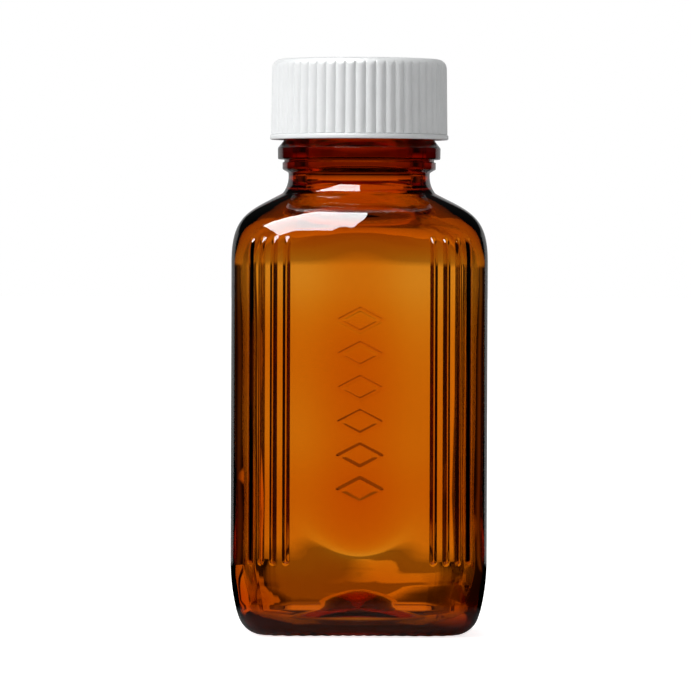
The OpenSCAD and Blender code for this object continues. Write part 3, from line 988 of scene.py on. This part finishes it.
def make_floor():
    """Pale floor that takes the bottle's shadow near it and turns to the backdrop's white farther out."""
    material, _, links, shader = new_material("pale_floor")
    shader.inputs["Roughness"].default_value = 1
    shader.inputs["Specular IOR Level"].default_value = 0
    shader.inputs["Emission Color"].default_value = (1, 1, 1, 1)
    maths = Maths(material.node_tree)
    x, y, _ = maths.where("Object")
    far_out = maths.do("SQRT", maths.do("ADD", maths.times(x, x), maths.times(y, y)))
    azimuth = maths.azimuth(x, y)
    camera, _, bent, mirrored = maths.rays()
    fade = maths.do("MINIMUM", maths.do("DIVIDE", far_out, FLOOR_FAR), 1)
    shown = maths.times(maths.scaled(fade, FLOOR_NEAR_GLOW, 1), camera)
    through = maths.times(maths.scaled(floor_through_glass(maths, x, y, far_out, azimuth), DARK, 1), bent)
    behind = maths.times(maths.sector(azimuth, *MIRRORED), BEHIND_GLOSS,
                         maths.above(far_out, MIRRORED_FLOOR_FROM, MIRRORED_FLOOR_FROM_FADE))
    glow = maths.do("ADD", maths.do("ADD", shown, through), maths.times(behind, mirrored))
    links.new(glow, shader.inputs["Emission Strength"])
    # Light of the lamps is on the floor for the camera, and close to the bottle for its mirror images
    far = maths.above(far_out, MIRRORED_FLOOR_TO, MIRRORED_FLOOR_FADE)
    lost = maths.most(bent, maths.times(mirrored, maths.scaled(far, 1 - MIRRORED_FLOOR_LEVEL, 1)))
    links.new(maths.times(maths.do("SUBTRACT", 1, lost), FLOOR_TONE), shader.inputs["Base Color"])
    corners = [(-FLOOR_HALF, -FLOOR_HALF), (FLOOR_HALF, -FLOOR_HALF), (FLOOR_HALF, FLOOR_HALF),
               (-FLOOR_HALF, FLOOR_HALF)]
    floor = make_sheet("floor", [(*corner, 0) for corner in corners], material)
    floor.location.z = -FLOOR_DROP


LAMP_AIM = (0, 0, 0.08)
# Lamps: name, place, side of the square and power
LAMPS = (("key", (-1.1, -0.64, 0.6), 0.5, 10.4), ("top", (-0.1, 0.1, 1.3), 0.6, 5))


def area_light(name, location, size, power):
    """A square lamp that neither mirror images nor bent light show."""
    data = bpy.data.lights.new(name, "AREA")
    data.size = size
    data.energy = power
    light = bpy.data.objects.new(name, data)
    light.location = location
    light.rotation_euler = (Vector(LAMP_AIM) - Vector(location)).to_track_quat("-Z", "Y").to_euler()
    bpy.context.scene.collection.objects.link(light)
    light.visible_camera = False
    light.visible_glossy = False
    light.visible_transmission = False


def glow_card(name, corners, reflected):
    """A card that glows for mirror images or else for bent light; gives Maths and the socket of its level."""
    material = bpy.data.materials.new(name)
    material.use_nodes = True
    nodes, links = material.node_tree.nodes, material.node_tree.links
    nodes.clear()
    glow = nodes.new("ShaderNodeEmission")
    output = nodes.new("ShaderNodeOutputMaterial")
    links.new(glow.outputs[0], output.inputs["Surface"])
    card = make_sheet(name, corners, material)
    card.visible_camera = False
    card.visible_diffuse = False
    card.visible_shadow = False
    card.visible_glossy = reflected
    card.visible_transmission = not reflected
    return Maths(material.node_tree), glow.inputs["Strength"]


SOFTBOX_CORNERS = [(-0.62, -0.9, 0.85), (0.005, -0.9, 0.85), (0.012, 0.15, 0.85), (-0.62, 0.15, 0.85)]
SOFTBOX_LEVEL = 16

# White card that stands behind the front, with a dim skirt on either side and a half bright foot
CARD_BACK = 0.3
CARD_FOOT = 0.0001
CARD_HALF = 0.07
CARD_FADE = 0.012
CARD_SKIRT = 0.095
CARD_SKIRT_LEVEL = 0.12
CARD_TOP = 0.106
CARD_TOP_FADE = 0.02
CARD_LOW = 0.008
CARD_LOW_FADE = 0.012
CARD_LOW_LEVEL = 0.5

# Card close behind the neck that glows only for light bent in the glass, full at its foot and dim above it:
# painted shade seen through the neck
NECK_CARD_BACK = 0.034
NECK_CARD_HALF = 0.035
NECK_CARD_LOW = 0.104
NECK_CARD_TOP = 0.16
NECK_CARD_FADE = 0.01
NECK_CARD_LEVEL = 0.21


def upright(half, back, low, high):
    """Corners of a card parallel to the front."""
    return [(-half, back, low), (half, back, low), (half, back, high), (-half, back, high)]


def make_white_card():
    corners = upright(CARD_SKIRT + CARD_FADE / 2, CARD_BACK, CARD_FOOT, CARD_TOP + CARD_TOP_FADE / 2)
    maths, strength = glow_card("white_card", corners, False)
    x, _, z = maths.where("Object")
    middle = maths.between(x, -CARD_HALF, CARD_HALF, CARD_FADE)
    skirt = maths.between(x, -CARD_SKIRT, CARD_SKIRT, CARD_FADE)
    across = maths.most(middle, maths.times(skirt, CARD_SKIRT_LEVEL))
    top = maths.scaled(maths.below(z, CARD_TOP, CARD_TOP_FADE), OVERHEAD_LEVEL, 1)
    foot = maths.scaled(maths.above(z, CARD_LOW, CARD_LOW_FADE), CARD_LOW_LEVEL, 1)
    maths.links.new(maths.scaled(maths.times(across, top, foot), DARK, 1), strength)


def make_neck_card():
    corners = upright(NECK_CARD_HALF, NECK_CARD_BACK, NECK_CARD_LOW - NECK_CARD_FADE / 2, NECK_CARD_TOP)
    maths, strength = glow_card("neck_card", corners, False)
    _, _, z = maths.where("Object")
    low = maths.above(z, NECK_CARD_LOW, NECK_CARD_FADE)
    # Dim glow above the foot: painted shade on the neck as the glass shows it
    maths.links.new(maths.scaled(low, 1, NECK_CARD_LEVEL), strength)


def make_lights():
    make_white_card()
    make_neck_card()
    for name, location, size, power in LAMPS:
        area_light(name, location, size, power)
    _, strength = glow_card("softbox", SOFTBOX_CORNERS, True)
    strength.default_value = SOFTBOX_LEVEL


def place(piece, body, slot, *nodes):
    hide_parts(*nodes)
    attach(piece, body)


def main():
    bpy.context.scene.view_settings.view_transform = "Standard"
    make_camera()
    make_world()
    make_floor()
    make_lights()
    place(make_bottle(amber_glass()), "bottle", "amber_glass", "bottle")
    place(make_cap(cap_plastic()), "cap", "cap_plastic", "screw_cap")
    for node, material in (("liner_wad", liner_foam()), ("liner_facing", liner_film())):
        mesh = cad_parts[node].data
        mesh.materials.clear()
        mesh.materials.append(material)


main()
